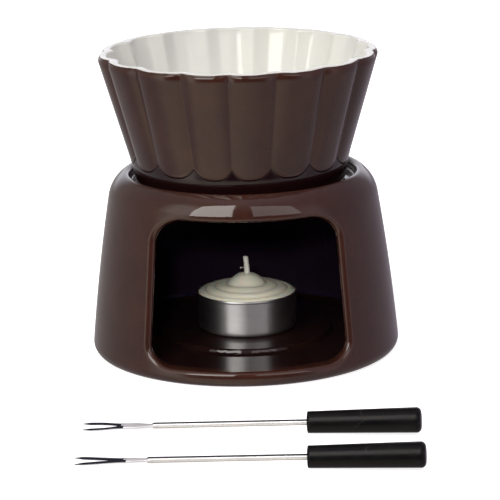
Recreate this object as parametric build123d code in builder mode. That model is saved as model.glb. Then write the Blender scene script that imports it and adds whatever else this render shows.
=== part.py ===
from build123d import *
from math import asin, atan, cos, pi, radians, sin, sqrt
import os

# A small chocolate fondue set: a glazed candle stove, a fluted bowl that stands loose in its top,
# a tealight on its floor and two forks lying in front of it. All lengths are millimetres.
# The origin is the centre of the stove's foot, +Z is up and -Y is the side with the window.

# ---- driving dimensions ----

HAIR = 0.01  # how far off its place a corner may be when it is picked by position

# Stove
STAND_WIDEST_R = 56.3  # just above the rounded foot
STAND_FOOT_ROUND = 4.0
STAND_LEAN = 0.13  # the side leans in by this much per millimetre of height
STAND_BULGE = 0.5  # how far the side swells over the straight line, halfway up
SHOULDER_R = 12.6
SHOULDER_START_Z = 58.2
STAND_WALL = 5.2
LIP_R = 41.2  # radius of the recess that the bowl stands in
LIP_ROUND = 1.6
SEAT_ROUND = 1.6  # on both edges of the ledge round the flue
SEAT_Z = 63.4
FLUE_R = 30.0
CEILING_Z = 58.2
CEILING_CORNER = 8.0
FLOOR_Z = 5.9
FLOOR_CORNER = 3.0
PLATEAU_R = 31.0
PLATEAU_Z = 7.4
PLATEAU_ROUND = 1.0
PLATEAU_SKIRT = 1.0  # its side slopes out by this much
PLATEAU_SINK = 1.0  # how far its disc goes down into the floor
UNDERSIDE_R = 30.0
UNDERSIDE_DEPTH = 2.4

# Window
WINDOW_HALF_BOTTOM = 35.0  # the opening narrows a little upwards
WINDOW_HALF_TOP = 31.4
WINDOW_CORNER_TOP = 9.0
WINDOW_CORNER_BOTTOM = 7.0
WINDOW_EDGE_ROUND = 1.2
WINDOW_START = 20.0  # the cut starts this far in front of the axis
SKIN_MARGIN = 1.0  # how near an edge must be to the outer face to get the round

# Bowl
BOWL_X = -0.8  # it stands a little off the stove's axis, within the play of the recess
BOWL_RIM_Z = 111.3
BOWL_RIM_R = 51.4
BOWL_FOOT_R = 38.6
BOWL_BAND_R = 40.0  # plain round band under the flutes
FLUTE_START_Z = 72.4
FLUTES = 16
FLUTE_DEPTH_RIM = 2.0
FLUTE_DEPTH_FOOT = 1.0
BOWL_WALL = 3.6
BOWL_FLOOR = 5.0
BOWL_DISH_ROUND = 7.0
BOWL_FOOT_ROUND = 2.0
BOWL_RECESS_R = 32.0  # the hollow under the foot
BOWL_RECESS_DEPTH = 1.2
LOFT_BELOW = 5.0  # the fluted loft starts this far under the flutes' visible start
BAND_INSIDE = 4.0  # and the band's disc goes this far up inside it
BAND_UPRIGHT = 1.0  # the band stands upright over the last bit below the flutes
CAVITY_ABOVE = 2.0  # the hollow's tool reaches this far over the rim
CAVITY_BELOW = 1.0  # and this far under the dish's floor
CAVITY_CLEAR = 0.6
BOWL_TURN = -5.5  # one valley lies this many degrees from the front

# Tealight
CANDLE_X = 0.6
CANDLE_Y = 1.2
CUP_R = 18.4
CUP_FOOT_R = 18.0
CUP_HEIGHT = 13.8
CUP_WALL = 0.3
CUP_FOOT_ROUND = 2.1
CUP_BEAD_R = 0.45
WAX_RING_RADII = (14.8, 11.2, 6.9)  # the grooves between the wax rings
WAX_GROOVE_RISE = (0.85, 1.9, 2.8)  # and their height over the cup's rim
WAX_DOME_RISE = 6.3
WAX_RING_SWELL = 0.6  # how far each ring's top stands over the line between its grooves
WAX_DOME_SWELL = 0.5
WICK_R = 1.0
WICK_TOP_RISE = 12.6
WICK_LEAN = 2.5
SUSTAINER_R = 6.25
SUSTAINER_T = 0.25
COLLAR_R = 1.5
COLLAR_HEIGHT = 3.2

# Forks
FORK_LENGTH = 114.0
FORK_TURN = -9.1  # the forks lie this many degrees off the stove's X axis
FORK_MIDDLES = ((-1.2, -105.0), (-2.9, -141.8))  # their middles on the table
HANDLE_LENGTH = 38.0
HANDLE_FRONT_R = 3.65
HANDLE_REAR_R = 4.3
HANDLE_ROUND = 1.7
HANDLE_BORE_DEPTH = 25.0
SHAFT_R = 1.0
HEAD_LENGTH = 25.0
BLADE_T = 0.8
BLADE_NARROWS = 7.5  # the blade narrows to its neck over this length
NECK_HALF_W = 1.25
TIP_HALF_SPREAD = 3.75  # from the middle to the outside of each tine's point
TIP_HALF_GAP = 2.95
TINE_LENGTHS = (13.0, 16.0)
ROOT_HALF_WIDTHS = (2.4, 1.75)  # half the blade's width behind the gap
EDGE_MIDWAY = 0.3  # share of the blade's narrowing still left where the neck begins
GAP_ROOT = 0.8  # the gap's width at its root, as a share of its width halfway
TIP_CLEAR = 0.05  # the points stand this far off the table
GAP_MIDWAY = (0.86, 0.5)  # how wide the gap still is halfway: a U on one fork, a V on the other
LAP = 3.0  # how far the shaft's flattened end lies on the blade

os.makedirs("parts", exist_ok=True)


def save(piece, label):
    """Label a finished piece and write it as the node of the same name."""
    piece.part.label = label
    export_step(piece.part, f"parts/{label}.step")


# ---- stove ----

lean_angle = atan(STAND_LEAN)
side_foot_z = STAND_FOOT_ROUND
side_top_r = STAND_WIDEST_R - STAND_LEAN * (SHOULDER_START_Z - side_foot_z)
side_mid_r = (STAND_WIDEST_R + side_top_r) / 2 + STAND_BULGE
side_mid = (side_mid_r, (STAND_FOOT_ROUND + SHOULDER_START_Z) / 2)
shoulder_x = side_top_r - SHOULDER_R * cos(lean_angle)
shoulder_z = SHOULDER_START_Z - SHOULDER_R * sin(lean_angle)

# The lip's small round touches the shoulder's arc from inside and ends on the recess wall.
lip_x = LIP_R + LIP_ROUND
lip_reach = SHOULDER_R - LIP_ROUND
lip_z = shoulder_z + sqrt(lip_reach**2 - (lip_x - shoulder_x) ** 2)
lip_cos = (lip_x - shoulder_x) / lip_reach
lip_sin = (lip_z - shoulder_z) / lip_reach
shoulder_end = (shoulder_x + SHOULDER_R * lip_cos, shoulder_z + SHOULDER_R * lip_sin)
mid_angle = (lean_angle + asin(lip_sin)) / 2
shoulder_mid = (shoulder_x + SHOULDER_R * cos(mid_angle), shoulder_z + SHOULDER_R * sin(mid_angle))
lip_mid_angle = (asin(lip_sin) + pi) / 2
lip_mid = (lip_x + LIP_ROUND * cos(lip_mid_angle), lip_z + LIP_ROUND * sin(lip_mid_angle))

# The chamber's wall is parallel to the side.
chamber_foot_r = STAND_WIDEST_R - STAND_WALL
chamber_top_r = chamber_foot_r - STAND_LEAN * (CEILING_Z - FLOOR_Z)
round_45 = STAND_FOOT_ROUND * sqrt(0.5)


def on_outer_skin(edge):
    """True for an edge of the window's opening that lies on the stove's outer face."""
    middle = edge @ 0.5
    radius = sqrt(middle.X**2 + middle.Y**2)
    skin = STAND_WIDEST_R - STAND_LEAN * (middle.Z - side_foot_z)
    in_width = abs(middle.X) < WINDOW_HALF_BOTTOM + SKIN_MARGIN
    in_height = FLOOR_Z - HAIR < middle.Z < CEILING_Z + HAIR
    return middle.Y < -WINDOW_START and in_width and in_height and radius > skin - SKIN_MARGIN


with BuildPart() as stand:
    with BuildSketch(Plane.XZ) as stand_section:
        with BuildLine():
            Polyline(
                (0, FLOOR_Z),
                (0, UNDERSIDE_DEPTH),
                (UNDERSIDE_R, UNDERSIDE_DEPTH),
                (UNDERSIDE_R + UNDERSIDE_DEPTH, 0),
                (STAND_WIDEST_R - STAND_FOOT_ROUND, 0),
            )
            ThreePointArc(
                (STAND_WIDEST_R - STAND_FOOT_ROUND, 0),
                (STAND_WIDEST_R - STAND_FOOT_ROUND + round_45, STAND_FOOT_ROUND - round_45),
                (STAND_WIDEST_R, STAND_FOOT_ROUND),
            )
            ThreePointArc((STAND_WIDEST_R, STAND_FOOT_ROUND), side_mid, (side_top_r, SHOULDER_START_Z))
            ThreePointArc((side_top_r, SHOULDER_START_Z), shoulder_mid, shoulder_end)
            ThreePointArc(shoulder_end, lip_mid, (LIP_R, lip_z))
            Polyline((LIP_R, lip_z), (LIP_R, SEAT_Z), (FLUE_R, SEAT_Z), (FLUE_R, CEILING_Z))
            Polyline(
                (FLUE_R, CEILING_Z),
                (chamber_top_r, CEILING_Z),
                (chamber_foot_r, FLOOR_Z),
                (0, FLOOR_Z),
            )
        make_face()
        inside_corners = stand_section.vertices().filter_by_position(
            Axis.X, chamber_top_r - HAIR, chamber_foot_r + HAIR
        )
        ceiling_corner = inside_corners.filter_by_position(Axis.Y, CEILING_Z - HAIR, CEILING_Z + HAIR)
        floor_corner = inside_corners.filter_by_position(Axis.Y, FLOOR_Z - HAIR, FLOOR_Z + HAIR)
        fillet(ceiling_corner, radius=CEILING_CORNER)
        fillet(floor_corner, radius=FLOOR_CORNER)
        flue_corners = stand_section.vertices().filter_by_position(Axis.X, FLUE_R - HAIR, FLUE_R + HAIR)
        upper_corners = flue_corners.filter_by_position(Axis.Y, CEILING_Z - HAIR, SEAT_Z + HAIR)
        fillet(upper_corners, radius=SEAT_ROUND)
    revolve(axis=Axis.Z)
    # The window goes through the front wall, level with the floor and the ceiling.
    with BuildSketch(Plane.XZ.offset(WINDOW_START)) as window:
        with BuildLine():
            Polyline(
                (-WINDOW_HALF_BOTTOM, FLOOR_Z),
                (WINDOW_HALF_BOTTOM, FLOOR_Z),
                (WINDOW_HALF_TOP, CEILING_Z),
                (-WINDOW_HALF_TOP, CEILING_Z),
                close=True,
            )
        make_face()
        fillet(window.vertices().group_by(Axis.Y)[0], radius=WINDOW_CORNER_BOTTOM)
        fillet(window.vertices().group_by(Axis.Y)[-1], radius=WINDOW_CORNER_TOP)
    extrude(amount=STAND_WIDEST_R, mode=Mode.SUBTRACT)
    window_rim = stand.edges().filter_by(on_outer_skin)
    fillet(window_rim, radius=WINDOW_EDGE_ROUND)
    # The plateau that the candle stands on.
    with BuildSketch(Plane.XZ) as plateau:
        with BuildLine():
            Polyline(
                (0, FLOOR_Z - PLATEAU_SINK),
                (PLATEAU_R + PLATEAU_SKIRT, FLOOR_Z - PLATEAU_SINK),
                (PLATEAU_R + PLATEAU_SKIRT, FLOOR_Z),
                (PLATEAU_R, PLATEAU_Z),
                (0, PLATEAU_Z),
                close=True,
            )
        make_face()
        fillet(plateau.vertices().group_by(Axis.Y)[-1].sort_by(Axis.X)[-1], radius=PLATEAU_ROUND)
    revolve(axis=Axis.Z)
save(stand, "stand")

# ---- bowl ----

band_slope = (BOWL_RIM_R - BOWL_BAND_R) / (BOWL_RIM_Z - FLUTE_START_Z)
depth_slope = (FLUTE_DEPTH_RIM - FLUTE_DEPTH_FOOT) / (BOWL_RIM_Z - FLUTE_START_Z)


def crest_radius(z):
    """Radius of the flutes' crests at a height."""
    return BOWL_BAND_R + band_slope * (z - FLUTE_START_Z)


def flute_outline(z, inset):
    """Closed line of one arc for each flute, at a height, a wall's thickness in if need be."""
    crest = crest_radius(z) - inset
    valley = crest - FLUTE_DEPTH_FOOT - depth_slope * (z - FLUTE_START_Z)
    step = 360 / FLUTES
    start = BOWL_TURN - 90
    for number in range(FLUTES):
        angles = [radians(start + step * (number + part)) for part in (0, 0.5, 1)]
        radii = (valley, crest, valley)
        points = [(r * cos(a), r * sin(a)) for r, a in zip(radii, angles)]
        ThreePointArc(*points)


flutes_foot_z = FLUTE_START_Z - LOFT_BELOW
band_top_z = FLUTE_START_Z + BAND_INSIDE
bowl_floor_z = SEAT_Z + BOWL_FLOOR
cavity_floor_r = crest_radius(bowl_floor_z) - BOWL_WALL
cavity_foot_z = bowl_floor_z - CAVITY_BELOW
cavity_top_z = BOWL_RIM_Z + CAVITY_ABOVE
bowl_section = Plane(origin=(BOWL_X, 0, 0), x_dir=(1, 0, 0), z_dir=(0, -1, 0))
bowl_axis = Axis((BOWL_X, 0, 0), (0, 0, 1))

with BuildPart() as cavity:
    with BuildSketch(Plane((BOWL_X, 0, cavity_foot_z))):
        with BuildLine():
            flute_outline(cavity_foot_z, BOWL_WALL)
        make_face()
    with BuildSketch(Plane((BOWL_X, 0, cavity_top_z))):
        with BuildLine():
            flute_outline(cavity_top_z, BOWL_WALL)
        make_face()
    loft(ruled=True)
    # The rounded bottom, one smooth dish that the flutes run into.
    with BuildSketch(bowl_section) as dish:
        with BuildLine():
            Polyline(
                (0, bowl_floor_z),
                (cavity_floor_r + CAVITY_CLEAR, bowl_floor_z),
                (crest_radius(cavity_top_z) - BOWL_WALL + CAVITY_CLEAR, cavity_top_z),
                (0, cavity_top_z),
                close=True,
            )
        make_face()
        fillet(dish.vertices().group_by(Axis.Y)[0].sort_by(Axis.X)[-1], radius=BOWL_DISH_ROUND)
    revolve(axis=bowl_axis, mode=Mode.INTERSECT)

with BuildPart() as bowl:
    with BuildSketch(Plane((BOWL_X, 0, flutes_foot_z))):
        with BuildLine():
            flute_outline(flutes_foot_z, 0)
        make_face()
    with BuildSketch(Plane((BOWL_X, 0, BOWL_RIM_Z))):
        with BuildLine():
            flute_outline(BOWL_RIM_Z, 0)
        make_face()
    loft(ruled=True)
    # The plain band and the foot that stands on the stove's ledge.
    with BuildSketch(bowl_section) as foot:
        with BuildLine():
            Polyline(
                (0, SEAT_Z + BOWL_RECESS_DEPTH),
                (BOWL_RECESS_R, SEAT_Z + BOWL_RECESS_DEPTH),
                (BOWL_RECESS_R + BOWL_RECESS_DEPTH, SEAT_Z),
                (BOWL_FOOT_R, SEAT_Z),
                (BOWL_BAND_R, FLUTE_START_Z - BAND_UPRIGHT),
                (BOWL_BAND_R, band_top_z),
                (0, band_top_z),
                close=True,
            )
        make_face()
        foot_corner = foot.vertices().group_by(Axis.Y)[0].sort_by(Axis.X)[-1]
        fillet(foot_corner, radius=BOWL_FOOT_ROUND)
    revolve(axis=bowl_axis)
    add(cavity.part, mode=Mode.SUBTRACT)
save(bowl, "bowl")

# ---- tealight ----

candle_section = Plane(origin=(CANDLE_X, CANDLE_Y, PLATEAU_Z), x_dir=(1, 0, 0), z_dir=(0, -1, 0))
candle_axis = Axis((CANDLE_X, CANDLE_Y, 0), (0, 0, 1))
bead_z = CUP_HEIGHT - CUP_BEAD_R
bead_x = CUP_R - CUP_WALL / 2
wax_edge_z = CUP_HEIGHT - 2 * CUP_BEAD_R


def cup_outline(inset, top_z):
    """The cup's floor, round foot and leaning side, a distance in from its outer face."""
    foot = CUP_FOOT_R - CUP_FOOT_ROUND
    small = (CUP_FOOT_ROUND - inset) * sqrt(0.5)
    lean = (CUP_R - CUP_FOOT_R) / (CUP_HEIGHT - CUP_FOOT_ROUND)
    side_top = (CUP_FOOT_R - inset + lean * (top_z - CUP_FOOT_ROUND), top_z)
    Line((0, inset), (foot, inset))
    ThreePointArc((foot, inset), (foot + small, CUP_FOOT_ROUND - small), (CUP_FOOT_R - inset, CUP_FOOT_ROUND))
    Line((CUP_FOOT_R - inset, CUP_FOOT_ROUND), side_top)
    return side_top


with BuildPart() as tealight_cup:
    with BuildSketch(candle_section):
        with BuildLine():
            outer_top = cup_outline(0, bead_z)
            inner_top = cup_outline(CUP_WALL, bead_z)
            Line(outer_top, inner_top)
            Line((0, 0), (0, CUP_WALL))
        make_face()
        with Locations((bead_x, bead_z)):
            Circle(CUP_BEAD_R)
    revolve(axis=candle_axis)
save(tealight_cup, "tealight_cup")

with BuildPart() as wick_sustainer:
    with BuildSketch(candle_section):
        with BuildLine():
            Polyline(
                (0, CUP_WALL),
                (SUSTAINER_R, CUP_WALL),
                (SUSTAINER_R, CUP_WALL + SUSTAINER_T),
                (COLLAR_R, CUP_WALL + SUSTAINER_T),
                (COLLAR_R, CUP_WALL + COLLAR_HEIGHT),
                (WICK_R, CUP_WALL + COLLAR_HEIGHT),
                (WICK_R, CUP_WALL + SUSTAINER_T),
                (0, CUP_WALL + SUSTAINER_T),
                close=True,
            )
        make_face()
    revolve(axis=candle_axis)
save(wick_sustainer, "wick_sustainer")

wick_lean_x = WICK_TOP_RISE * sin(radians(WICK_LEAN))
wick_foot = (CANDLE_X, CANDLE_Y, PLATEAU_Z + CUP_WALL + SUSTAINER_T)
wick_bend = (CANDLE_X, CANDLE_Y, PLATEAU_Z + CUP_HEIGHT)
wick_top = (CANDLE_X - wick_lean_x, CANDLE_Y, PLATEAU_Z + CUP_HEIGHT + WICK_TOP_RISE)

with BuildPart() as tealight_wick:
    with BuildLine():
        Line(wick_foot, wick_bend)
        TangentArc(wick_bend, wick_top, tangent=(0, 0, 1))
    with BuildSketch(Plane(origin=wick_foot, x_dir=(1, 0, 0), z_dir=(0, 0, 1))):
        Circle(WICK_R)
    sweep()
save(tealight_wick, "tealight_wick")

with BuildPart() as tealight_wax:
    with BuildSketch(candle_section):
        with BuildLine():
            start = cup_outline(CUP_WALL, wax_edge_z)
            for radius, rise in zip(WAX_RING_RADII, WAX_GROOVE_RISE):
                groove = (radius, CUP_HEIGHT + rise)
                crest = ((start[0] + radius) / 2, (start[1] + groove[1]) / 2 + WAX_RING_SWELL)
                ThreePointArc(start, crest, groove)
                start = groove
            dome = (0, CUP_HEIGHT + WAX_DOME_RISE)
            ThreePointArc(start, (start[0] / 2, (start[1] + dome[1]) / 2 + WAX_DOME_SWELL), dome)
            Line(dome, (0, CUP_WALL))
        make_face()
    revolve(axis=candle_axis)
    add(tealight_cup.part, mode=Mode.SUBTRACT)
    add(wick_sustainer.part, mode=Mode.SUBTRACT)
    add(tealight_wick.part, mode=Mode.SUBTRACT)
save(tealight_wax, "tealight_wax")

# ---- forks ----

# A fork rests on its points and on the front edge of its handle.
handle_start = FORK_LENGTH - HANDLE_LENGTH
fork_tilt = asin((HANDLE_FRONT_R - BLADE_T / 2) / handle_start)
turn = radians(FORK_TURN)
tip_z = BLADE_T / 2 + TIP_CLEAR
along = (cos(turn) * cos(fork_tilt), sin(turn) * cos(fork_tilt), sin(fork_tilt))
upright = (-cos(turn) * sin(fork_tilt), -sin(turn) * sin(fork_tilt), cos(fork_tilt))


def tine_gap(length, midway):
    """Closed line round the gap between the two tines, which opens towards the points."""
    halfway = (length / 2, TIP_HALF_GAP * midway)
    root = (length - TIP_HALF_GAP * midway, TIP_HALF_GAP * midway * GAP_ROOT)
    left = [(-TIP_HALF_GAP, TIP_HALF_GAP), (0, TIP_HALF_GAP), halfway, root]
    right = [(x, -y) for x, y in reversed(left)]
    Polyline(*left)
    ThreePointArc(root, (length, 0), right[0])
    Polyline(*right, left[0])


for number, (middle, tine_length, root_half, midway) in enumerate(
    zip(FORK_MIDDLES, TINE_LENGTHS, ROOT_HALF_WIDTHS, GAP_MIDWAY), start=1
):
    half = FORK_LENGTH / 2 * cos(fork_tilt)
    tip = (middle[0] - half * cos(turn), middle[1] - half * sin(turn), tip_z)
    flat = Plane(origin=tip, x_dir=along, z_dir=upright)
    across = Plane(origin=tip, x_dir=flat.y_dir, z_dir=along)
    section = Plane(origin=tip, x_dir=along, z_dir=flat.y_dir)
    fork_axis = Axis(tip, along)
    blade_end = HEAD_LENGTH - LAP
    narrowing = blade_end - BLADE_NARROWS

    with BuildPart() as tines:
        with BuildSketch(flat):
            with BuildLine():
                Line((0, 0), (0, TIP_HALF_SPREAD))
                Spline(
                    (0, TIP_HALF_SPREAD),
                    (narrowing, root_half + EDGE_MIDWAY * (TIP_HALF_SPREAD - root_half)),
                    (blade_end, NECK_HALF_W),
                    tangents=((1, 0), (1, 0)),
                )
                Polyline((blade_end, NECK_HALF_W), (HEAD_LENGTH, NECK_HALF_W), (HEAD_LENGTH, 0), (0, 0))
            make_face()
            mirror(about=Plane.XZ)
            with BuildLine():
                tine_gap(tine_length, midway)
            make_face(mode=Mode.SUBTRACT)
        extrude(amount=BLADE_T / 2, both=True)
    save(tines, f"fork_{number}_tines")

    with BuildPart() as shaft:
        with BuildSketch(across.offset(HEAD_LENGTH - LAP)):
            Circle(SHAFT_R)
        extrude(amount=handle_start + HANDLE_BORE_DEPTH - HEAD_LENGTH + LAP)
        add(tines.part, mode=Mode.SUBTRACT)
    save(shaft, f"fork_{number}_shaft")

    with BuildPart() as handle:
        with BuildSketch(section) as handle_section:
            with BuildLine():
                Polyline(
                    (handle_start, 0),
                    (handle_start, HANDLE_FRONT_R),
                    (FORK_LENGTH, HANDLE_REAR_R),
                    (FORK_LENGTH, 0),
                    close=True,
                )
            make_face()
            fillet(handle_section.vertices().group_by(Axis.X)[-1].sort_by(Axis.Y)[-1], radius=HANDLE_ROUND)
        revolve(axis=fork_axis)
        with BuildSketch(across.offset(handle_start)):
            Circle(SHAFT_R)
        extrude(amount=HANDLE_BORE_DEPTH, mode=Mode.SUBTRACT)
    save(handle, f"fork_{number}_handle")
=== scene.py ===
from math import asin, atan, cos, hypot, pi, radians, sin, sqrt

import bpy
import numpy as np
from mathutils import Matrix, Vector


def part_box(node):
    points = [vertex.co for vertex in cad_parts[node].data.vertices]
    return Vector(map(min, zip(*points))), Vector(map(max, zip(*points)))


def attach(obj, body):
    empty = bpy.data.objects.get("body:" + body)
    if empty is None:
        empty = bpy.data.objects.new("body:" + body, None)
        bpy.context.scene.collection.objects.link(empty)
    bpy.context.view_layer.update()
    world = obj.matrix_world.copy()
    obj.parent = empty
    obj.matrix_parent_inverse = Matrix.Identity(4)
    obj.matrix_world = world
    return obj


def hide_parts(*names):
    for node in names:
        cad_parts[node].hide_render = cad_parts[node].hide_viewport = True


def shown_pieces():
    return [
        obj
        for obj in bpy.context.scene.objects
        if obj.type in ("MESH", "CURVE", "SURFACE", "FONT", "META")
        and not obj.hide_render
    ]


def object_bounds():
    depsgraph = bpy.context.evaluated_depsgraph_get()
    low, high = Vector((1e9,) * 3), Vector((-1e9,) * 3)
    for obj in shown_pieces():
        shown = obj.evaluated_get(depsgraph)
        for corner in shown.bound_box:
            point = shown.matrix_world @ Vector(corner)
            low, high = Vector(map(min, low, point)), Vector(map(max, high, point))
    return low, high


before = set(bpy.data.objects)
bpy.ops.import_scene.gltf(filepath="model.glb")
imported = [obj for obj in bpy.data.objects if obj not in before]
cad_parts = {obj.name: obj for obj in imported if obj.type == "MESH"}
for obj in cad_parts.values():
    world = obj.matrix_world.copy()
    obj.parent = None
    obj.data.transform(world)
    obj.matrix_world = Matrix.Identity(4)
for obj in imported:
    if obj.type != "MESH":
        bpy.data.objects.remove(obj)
cad_low, cad_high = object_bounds()

MM = 0.001  # the shapes below are worked out in millimetres

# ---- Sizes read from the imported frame, in millimetres ----


def box_mm(node):
    """Lowest and highest corner of a CAD node, in millimetres."""
    low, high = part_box(node)
    return np.array(low) / MM, np.array(high) / MM


stand_high = box_mm("stand")[1]
bowl_low, bowl_high = box_mm("bowl")
cup_low, cup_high = box_mm("tealight_cup")
wick_low, wick_high = box_mm("tealight_wick")

# Stove
WIDEST_R = stand_high[0]
FOOT_ROUND = 4.0
LEAN = 0.13
BULGE = 0.5  # how far the side swells over the straight line, halfway up
SHOULDER_R = 12.6
SHOULDER_START_Z = 58.55
STAND_WALL = 5.2
LIP_R = 41.2
LIP_ROUND = 1.6
SEAT_Z = bowl_low[2]
SEAT_CORNER = 0.8
FLUE_R = 30.0
FLUE_ROUND = 1.6
CEILING_Z = 58.2
CEILING_CORNER = 8.0
FLOOR_Z = 5.9
FLOOR_CORNER = 3.0
PLATEAU_R = 31.0
PLATEAU_Z = cup_low[2]
UNDERSIDE_R = 30.0
UNDERSIDE_DEPTH = 2.4
WINDOW_HALF_BOTTOM = 35.0
WINDOW_HALF_TOP = 31.4
WINDOW_CORNER_TOP = 10.5
WINDOW_CORNER_BOTTOM = 7.0
WINDOW_ROUND = 1.75
WINDOW_FRONT = 20.0

# Bowl
RIM_Z = bowl_high[2]
RIM_R = 51.4
BAND_R = 40.0
BAND_FOOT_R = 38.6
BOWL_X = (bowl_low[0] + bowl_high[0]) / 2
LOBE_STEP = 0.3  # how far the lobes stand over the band where they end
LOBE_END = 0.9
FLUTE_START_Z = SEAT_Z + 9.0
FLUTES = 16
DEPTH_RIM = 2.0
DEPTH_FOOT = 1.0
BOWL_WALL = 3.6
BOWL_FLOOR_Z = SEAT_Z + 5.0
BOWL_TURN = -5.5

# Tealight
CANDLE_X = (cup_low[0] + cup_high[0]) / 2
CANDLE_Y = (cup_low[1] + cup_high[1]) / 2
CUP_Z = cup_low[2]
CUP_HEIGHT = 13.8
CUP_R = 18.4
CUP_FOOT_R = 18.0
CUP_FOOT_ROUND = 2.1
CUP_WALL = 0.3
BEAD_R = 0.45

# ---- Mesh helpers ----


def add_object(name, data):
    made = bpy.data.objects.new(name, data)
    bpy.context.scene.collection.objects.link(made)
    return made


def add_piece(name, points, faces, body, material, node, normals=None):
    """A smooth-shaded piece from points in millimetres, which rides on a CAD body and replaces a node."""
    mesh = bpy.data.meshes.new(name)
    mesh.from_pydata((np.asarray(points) * MM).tolist(), [], faces)
    mesh.polygons.foreach_set("use_smooth", [True] * len(mesh.polygons))
    mesh.materials.append(material)
    if normals is not None:
        mesh.normals_split_custom_set_from_vertices(normals.tolist())
    mesh.validate()
    piece = add_object(name, mesh)
    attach(piece, body)
    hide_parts(node)
    return piece


def add_values(piece, name, values):
    """A number for each vertex, which a material can read."""
    layer = piece.data.attributes.new(name, "FLOAT", "POINT")
    layer.data.foreach_set("value", np.asarray(values, np.float32))


def round_angles(around):
    return np.arange(around) * 2 * pi / around


def ring(r, angles, z):
    """Points round Z, where radius and height are numbers or go with the angles."""
    return np.stack(np.broadcast_arrays(r * np.cos(angles), r * np.sin(angles), z), 1)


def skin(rings):
    """Points and faces over closed rings of equal length, with a middle point over either end."""
    around = len(rings[0])
    here = np.arange(around)
    after = (here + 1) % around
    first = len(rings) * around
    end = first - around
    faces = []
    for low in range(0, end, around):
        high = low + around
        faces += np.stack([low + here, low + after, high + after, high + here], 1).tolist()
    faces += np.stack([after, here, np.full(around, first)], 1).tolist()
    faces += np.stack([end + here, end + after, np.full(around, first + 1)], 1).tolist()
    return np.concatenate([*rings, [rings[0].mean(0)], [rings[-1].mean(0)]]), faces


def arc(centre, radius, start, end, steps):
    """Points of an arc in the half-plane of a turned profile, angles in degrees."""
    angles = np.radians(np.linspace(start, end, steps))
    return [(centre[0] + radius * cos(a), centre[1] + radius * sin(a)) for a in angles]


def line(start, end, steps):
    """Points of a straight line, both ends included."""
    return np.linspace(start, end, steps).tolist()


def lathe(path, around, wobble):
    """Rings of a profile of (radius, height) pairs turned about Z, each made uneven by wobble."""
    angles = round_angles(around)
    rings = []
    last = (0.0, 0.0)
    for radius, height in path:
        if hypot(radius - last[0], height - last[1]) > 1e-4:  # a point that repeats makes no ring
            r, z = wobble(radius, height, angles)
            rings.append(ring(r, angles, z))
            last = (radius, height)
    return rings


def waves(a, b, seed, count=7, reach=5):
    """A smooth repeatable wandering of two numbers, about -1 to 1."""
    rng = np.random.default_rng(seed)
    total = 0
    for _ in range(count):
        fa, fb = rng.integers(1, reach), rng.uniform(0.2, 1.0) * reach
        total = total + np.sin(fa * a + fb * b + rng.uniform(0, 2 * pi))
    return total / sqrt(count)


# ---- Material helpers ----


class Nodes:
    """Short calls for building a node tree. A value is a number, a colour or another node's output."""

    def __init__(self, tree):
        self.tree = tree

    def put(self, value, socket):
        if isinstance(value, bpy.types.NodeSocket):
            self.tree.links.new(value, socket)
        else:
            socket.default_value = value

    def add(self, kind, inputs=None, **settings):
        node = self.tree.nodes.new(kind)
        for key, value in settings.items():
            setattr(node, key, value)
        for key, value in (inputs or {}).items():
            self.put(value, node.inputs[key])
        return node

    def math(self, operation, a, b=0.0):
        return self.add("ShaderNodeMath", {0: a, 1: b}, operation=operation).outputs[0]

    def scale(self, value, low, high, to_low=0.0, to_high=1.0, smooth=False):
        """The value's stretch from low to high as one from to_low to to_high, held at its ends."""
        inputs = {0: value, 1: low, 2: high, 3: to_low, 4: to_high}
        kind = "SMOOTHSTEP" if smooth else "LINEAR"
        return self.add("ShaderNodeMapRange", inputs, interpolation_type=kind).outputs[0]

    def mix(self, share, a, b):
        """Colour a, changed to b by a share."""
        a, b = (value if isinstance(value, bpy.types.NodeSocket) else (*value, 1.0) for value in (a, b))
        return self.add("ShaderNodeMix", {0: share, 6: a, 7: b}, data_type="RGBA").outputs[2]


class Graph(Nodes):
    """The nodes of a material, whose patterns lie in the piece's own space."""

    def __init__(self, name):
        self.material = bpy.data.materials.new(name)
        self.material.use_nodes = True
        super().__init__(self.material.node_tree)
        self.bsdf = self.tree.nodes["Principled BSDF"]
        self.place = self.add("ShaderNodeTexCoord").outputs["Object"]

    def attribute(self, name):
        return self.add("ShaderNodeAttribute", attribute_name=name).outputs["Fac"]

    def noise(self, size, detail=3.0, rough=0.55, distort=0.0, stretch=None):
        """Noise whose blobs are about that many metres across."""
        place = self.place
        if stretch:
            place = self.add("ShaderNodeMapping", {"Vector": place, "Scale": stretch}).outputs[0]
        inputs = {"Vector": place, "Scale": 1 / size, "Detail": detail, "Roughness": rough}
        return self.add("ShaderNodeTexNoise", {**inputs, "Distortion": distort}).outputs["Fac"]

    def cells(self, size):
        """Distance from the nearest of points about that many metres apart."""
        inputs = {"Vector": self.place, "Scale": 1 / size}
        return self.add("ShaderNodeTexVoronoi", inputs).outputs["Distance"]

    def vary(self, noise, low, high):
        """A number that runs from low to high over most of a noise's range."""
        return self.scale(noise, 0.3, 0.7, low, high)

    def plus(self, value, share, most):
        """The value with up to most added, by a share."""
        return self.math("ADD", value, self.math("MULTIPLY", share, most))

    def bump(self, height, strength, distance, normal=None):
        inputs = {"Height": height, "Strength": strength, "Distance": distance}
        if normal is not None:
            inputs["Normal"] = normal
        return self.add("ShaderNodeBump", inputs).outputs[0]

    def finish(self, **sockets):
        for key, value in sockets.items():
            self.put(value, self.bsdf.inputs[key.replace("_", " ")])
        return self.material


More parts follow.
